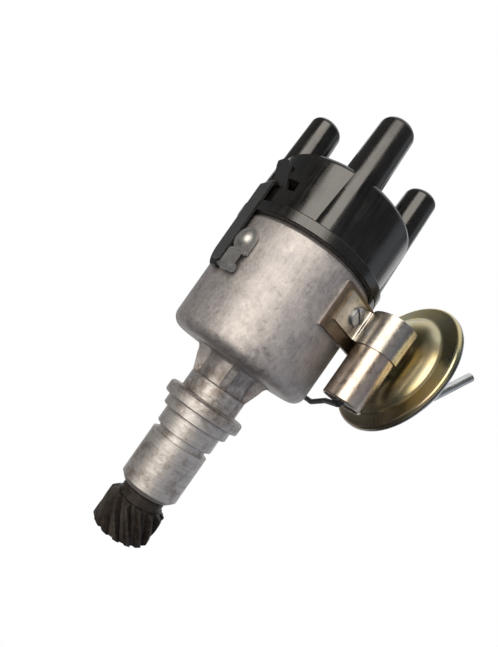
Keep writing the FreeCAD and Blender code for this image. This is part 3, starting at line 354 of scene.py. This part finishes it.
# light colour, dark colour, stain colour and settings of the plated metals
PLATED = {
    "gold_zinc": ((0.58, 0.505, 0.435), (0.44, 0.365, 0.305), (0.13, 0.11, 0.10),
                  {"rough": (0.24, 0.38), "stain_share": 0.75}),
    "silver_zinc": ((0.66, 0.68, 0.68), (0.56, 0.58, 0.58), (0.36, 0.35, 0.33),
                    {"rough": (0.2, 0.3), "stain_share": 0.2}),
    "zinc_plate": ((0.50, 0.50, 0.485), (0.40, 0.39, 0.37), (0.22, 0.20, 0.18),
                   {"rough": (0.42, 0.52)}),
    "strap_zinc": ((0.52, 0.49, 0.445), (0.40, 0.375, 0.335), (0.14, 0.125, 0.11),
                   {"rough": (0.24, 0.38), "stain_share": 0.6}),
    # a darkened copy of the plating for the bracket: stains and painted shade from the condenser and
    # strap
    "stained_and_shaded_zinc": ((0.20, 0.165, 0.125), (0.135, 0.105, 0.08), (0.10, 0.08, 0.065),
                     {"rough": (0.34, 0.46), "stain_share": 0.7}),
    "screw_zinc": ((0.50, 0.52, 0.54), (0.38, 0.39, 0.40), (0.15, 0.14, 0.13),
                   {"rough": (0.38, 0.48), "blotch": 0.002}),
}

# light colour, dark colour and settings of the plain stuffs
PLAIN = {
    "clip_black": ((0.012, 0.012, 0.012), (0.022, 0.021, 0.020), {"rough": 0.40}),
    "gear_steel": ((0.020, 0.017, 0.015), (0.046, 0.036, 0.030),
                   {"rough": 0.46, "metallic": 0.2, "ior": 1.35}),
    "steel": ((0.55, 0.55, 0.56), (0.42, 0.42, 0.43), {"rough": 0.25, "metallic": 1.0}),
    "cam_steel": ((0.50, 0.49, 0.48), (0.38, 0.37, 0.36), {"rough": 0.2, "metallic": 1.0}),
    "sintered_steel": ((0.30, 0.29, 0.28), (0.22, 0.21, 0.20), {"rough": 0.5, "metallic": 0.9}),
    "spring_steel": ((0.36, 0.36, 0.37), (0.24, 0.24, 0.25), {"rough": 0.3, "metallic": 1.0}),
    "tungsten": ((0.40, 0.40, 0.42), (0.32, 0.32, 0.33), {"rough": 0.3, "metallic": 1.0}),
    "bronze": ((0.62, 0.44, 0.25), (0.50, 0.34, 0.19), {"rough": 0.4, "metallic": 1.0}),
    "brass": ((0.72, 0.56, 0.28), (0.58, 0.43, 0.22), {"rough": 0.28, "metallic": 1.0}),
    "fibre": ((0.35, 0.20, 0.11), (0.26, 0.14, 0.08), {"rough": 0.6}),
    "felt": ((0.55, 0.48, 0.36), (0.42, 0.36, 0.26), {"rough": 0.95}),
    "rotor_resin": ((0.13, 0.065, 0.035), (0.09, 0.045, 0.025), {"rough": 0.4}),
    "carbon": ((0.04, 0.04, 0.04), (0.06, 0.06, 0.06), {"rough": 0.6}),
    "rubber": ((0.030, 0.030, 0.030), (0.05, 0.05, 0.05), {"rough": 0.7}),
    "black_seal": ((0.030, 0.030, 0.030), (0.05, 0.048, 0.045), {"rough": 0.5}),
    "black_lead": ((0.016, 0.016, 0.017), (0.032, 0.032, 0.032), {"rough": 0.5, "size": 0.0015}),
}

# pieces that look different from the rest of their slot in the photograph; the bracket's darker
# plating is partly stains and partly painted shade
OWN_FINISH = {"condenser_strap": "strap_zinc", "capsule_bracket": "stained_and_shaded_zinc"}


def finishes():
    """Every material by its name."""
    made = {"cast_alloy": cast_alloy(), "cap_resin": cap_resin(), "chromate_zinc": passivate()}
    for name, (light, dark, stain, settings) in PLATED.items():
        made[name] = plated(name, light, dark, stain, **settings)
    for name, (light, dark, settings) in PLAIN.items():
        made[name] = plain(name, light, dark, **settings)
    return made


def dress():
    """Gives every CAD node its material."""
    slots = {row["node"]: row["material_slot"] for row in frame["record"]["subparts"]}
    for name, node in frame["nodes"].items():
        node.data.materials.clear()
        node.data.materials.append(MATERIALS[OWN_FINISH.get(name, slots[name])])


def new_piece(name, mesh):
    piece = bpy.data.objects.new(name, mesh)
    scene.collection.objects.link(piece)
    return piece


def built_piece(name, points, faces):
    mesh = bpy.data.meshes.new(name)
    mesh.from_pydata(points, [], faces)
    return new_piece(name, mesh)


def supple(node, name, keep=None):
    """A copy of a CAD spring, or of the part of it that keep() picks, that stands in for the hidden
    CAD node.
    """
    shape = bmesh.new()
    shape.from_mesh(frame["nodes"][node].data)
    if keep:
        bmesh.ops.delete(shape, geom=[v for v in shape.verts if not keep(v.co)], context="VERTS")
    mesh = bpy.data.meshes.new(name)
    shape.to_mesh(mesh)
    shape.free()
    mesh.shade_smooth()
    mesh.materials.append(MATERIALS["spring_steel"])
    piece = new_piece(name, mesh)
    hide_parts(node)
    return piece


def pressed_spring(node):
    """A copy of a pressure spring, with its place baked into its mesh."""
    piece = supple(node, node + "_coil")
    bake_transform(piece)


def springs():
    """Copies of the springs, in place of their CAD nodes."""
    pressed_spring("diaphragm_spring")
    pressed_spring("brush_spring")
    for sign, name in ((1, "advance_spring_a"), (-1, "advance_spring_b")):
        piece = supple("advance_springs", name, lambda co: co.x * sign < 0)
        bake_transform(piece)
    leaf = supple("breaker_spring", "breaker_leaf")
    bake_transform(leaf)


def turned_piece(name, profile):
    """A closed round solid about Z; the profile gives (height, radius) from end to end."""
    points = []
    for height, radius in profile:
        for k in range(ROUND_STEPS):
            a = math.tau * k / ROUND_STEPS
            points.append((radius * math.cos(a), radius * math.sin(a), height))
    faces = [tuple(reversed(range(ROUND_STEPS)))]
    for ring in range(len(profile) - 1):
        low = ring * ROUND_STEPS
        high = low + ROUND_STEPS
        for k in range(ROUND_STEPS):
            after = (k + 1) % ROUND_STEPS
            faces.append((low + k, low + after, high + after, high + k))
    last = (len(profile) - 1) * ROUND_STEPS
    faces.append(tuple(range(last, last + ROUND_STEPS)))
    return built_piece(name, points, faces)


def box_piece(name, half_x, half_y, low, high):
    """A closed box centred on Z, between two heights."""
    outline = ((-half_x, -half_y), (half_x, -half_y), (half_x, half_y), (-half_x, half_y))
    points = [(x, y, z) for z in (low, high) for x, y in outline]
    faces = [(3, 2, 1, 0), (4, 5, 6, 7), (0, 1, 5, 4), (1, 2, 6, 5), (2, 3, 7, 6), (3, 0, 4, 7)]
    return built_piece(name, points, faces)


def cut_mesh(piece, cutter):
    """The piece's mesh with the cutter taken out of it; the cutter is used up."""
    cut = piece.modifiers.new("cut", "BOOLEAN")
    cut.operation = "DIFFERENCE"
    cut.solver = "EXACT"
    cut.object = cutter
    shaped = piece.evaluated_get(bpy.context.evaluated_depsgraph_get())
    mesh = bpy.data.meshes.new_from_object(shaped)
    piece.modifiers.clear()
    bpy.data.objects.remove(cutter)
    return mesh


def slotted_screw():
    """The strap's screw with the low slotted head that the photograph shows."""
    head = [(height * MM, radius * MM) for height, radius in SCREW_HEAD]
    shank = [(-SCREW_LENGTH, SCREW_SHANK_R), (0.0, SCREW_SHANK_R)]
    screw = turned_piece("slotted_screw", shank + head)
    top = head[-1][0]
    reach = head[0][1] * SLOT_OVERRUN
    slot = box_piece("slot", reach, SLOT_WIDE / 2, top - SLOT_DEEP, top + SLOT_DEEP)
    mesh = cut_mesh(screw, slot)
    aim = Vector((math.sin(SCREW_AZIMUTH), -math.cos(SCREW_AZIMUTH), 0.0))
    side = UP.cross(aim)
    along = UP * math.cos(SCREW_SLOT_TURN) + side * math.sin(SCREW_SLOT_TURN)
    turn = Matrix((along, aim.cross(along), aim)).transposed()
    mesh.transform(Matrix.Translation(SCREW_SEAT) @ turn.to_4x4())
    mesh.shade_smooth()
    mesh.set_sharp_from_angle(angle=CREASE)
    mesh.materials.append(MATERIALS["screw_zinc"])
    screw.data = mesh
    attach(screw, "body")
    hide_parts("condenser_screw")


def card(name, points, colour):
    """A panel of the studio that the shiny parts reflect; the camera sees the white world past it."""
    panel = built_piece(name, points, [tuple(range(len(points)))])
    material = bpy.data.materials.new(name)
    material.use_nodes = True
    nodes = material.node_tree.nodes
    nodes.clear()
    glow = nodes.new("ShaderNodeEmission")
    glow.inputs["Color"].default_value = (*colour, 1.0)
    out = nodes.new("ShaderNodeOutputMaterial")
    material.node_tree.links.new(glow.outputs["Emission"], out.inputs["Surface"])
    panel.data.materials.append(material)
    panel.visible_camera = False


def on_wall(azimuth, height):
    a = math.radians(azimuth)
    return (ROOM_R * math.sin(a), -ROOM_R * math.cos(a), height)


def wall_panel(start, stop, low, high):
    return [on_wall(start, low), on_wall(stop, low), on_wall(stop, high), on_wall(start, high)]


def room():
    """Dim walls round the sides and behind the camera, and a dim floor far below."""
    for start, stop, low_colour, high_colour in WALLS:
        steps = round((stop - start) / WALL_STEP)
        for k in range(steps):
            a = start + (stop - start) * k / steps
            b = start + (stop - start) * (k + 1) / steps
            # the half turn keeps minus signs out of the names
            name = "wall_" + str(start + HALF_TURN) + "_" + str(k)
            card(name + "_low", wall_panel(a, b, ROOM_LOW, ROOM_SPLIT), low_colour)
            card(name + "_high", wall_panel(a, b, ROOM_SPLIT, ROOM_HIGH), high_colour)
    rim = range(-FLOOR_REACH, FLOOR_REACH + 1, WALL_STEP)
    card("floor_below", [on_wall(a, ROOM_LOW) for a in rim], FLOOR)


def window():
    """A soft rectangular lamp aimed at the bowl."""
    lamp = bpy.data.lights.new("window", "AREA")
    lamp.shape = "RECTANGLE"
    lamp.size = WINDOW_WIDTH
    lamp.size_y = WINDOW_HEIGHT
    lamp.energy = WINDOW_POWER
    lamp.color = WINDOW_WARM
    holder = new_piece("window", lamp)
    level = math.cos(WINDOW_ELEVATION)
    away = Vector((math.sin(WINDOW_AZIMUTH) * level, -math.cos(WINDOW_AZIMUTH) * level,
                   math.sin(WINDOW_ELEVATION)))
    holder.location = WINDOW_AIM + away * WINDOW_DISTANCE
    holder.rotation_mode = "QUATERNION"
    holder.rotation_quaternion = away.to_track_quat("Z", "Y")


def white_world():
    """White for the camera and for reflections, and an even cool fill for everything else."""
    world = bpy.data.worlds.new("white")
    scene.world = world
    world.use_nodes = True
    nodes = world.node_tree.nodes
    links = world.node_tree.links
    nodes.clear()
    rays = nodes.new("ShaderNodeLightPath")
    seen = rays.outputs["Is Camera Ray"]
    for kind in ("Is Glossy Ray", "Is Transmission Ray"):
        either = nodes.new("ShaderNodeMath")
        either.operation = "MAXIMUM"
        links.new(seen, either.inputs[0])
        links.new(rays.outputs[kind], either.inputs[1])
        seen = either.outputs["Value"]
    mix = nodes.new("ShaderNodeMixShader")
    links.new(seen, mix.inputs[0])
    lights = ((FILL, FILL_STRENGTH), (BACKDROP, BACKDROP_STRENGTH))
    for place, (colour, strength) in enumerate(lights, 1):
        glow = nodes.new("ShaderNodeBackground")
        glow.inputs["Color"].default_value = (*colour, 1.0)
        glow.inputs["Strength"].default_value = strength
        links.new(glow.outputs["Background"], mix.inputs[place])
    out = nodes.new("ShaderNodeOutputWorld")
    links.new(mix.outputs["Shader"], out.inputs["Surface"])


def place_camera():
    """The camera stands in front of the part, leans to one side and looks slightly up."""
    data = bpy.data.cameras.new("camera")
    camera = new_piece("camera", data)
    scene.camera = camera
    level = Vector((math.cos(YAW), -math.sin(YAW), 0.0))
    ahead = Vector((math.sin(YAW) * math.cos(PITCH), math.cos(YAW) * math.cos(PITCH), math.sin(PITCH)))
    above = level.cross(ahead)
    right = level * math.cos(LEAN) + above * math.sin(LEAN)
    top = above * math.cos(LEAN) - level * math.sin(LEAN)
    turn = Matrix((right, top, -ahead)).transposed()
    camera.matrix_world = Matrix.Translation((0.0, -DISTANCE, EYE_Z)) @ turn.to_4x4()
    data.sensor_width = SENSOR_WIDTH
    data.lens = FOCAL_PX / IMAGE_H * SENSOR_WIDTH
    data.shift_x = SHIFT_PX[0] / IMAGE_H
    data.shift_y = SHIFT_PX[1] / IMAGE_H
    data.clip_start = CLIP_NEAR
    data.clip_end = CLIP_FAR


scene.view_settings.view_transform = "Standard"
MATERIALS = finishes()
dress()
springs()
slotted_screw()
room()
window()
white_world()
place_camera()
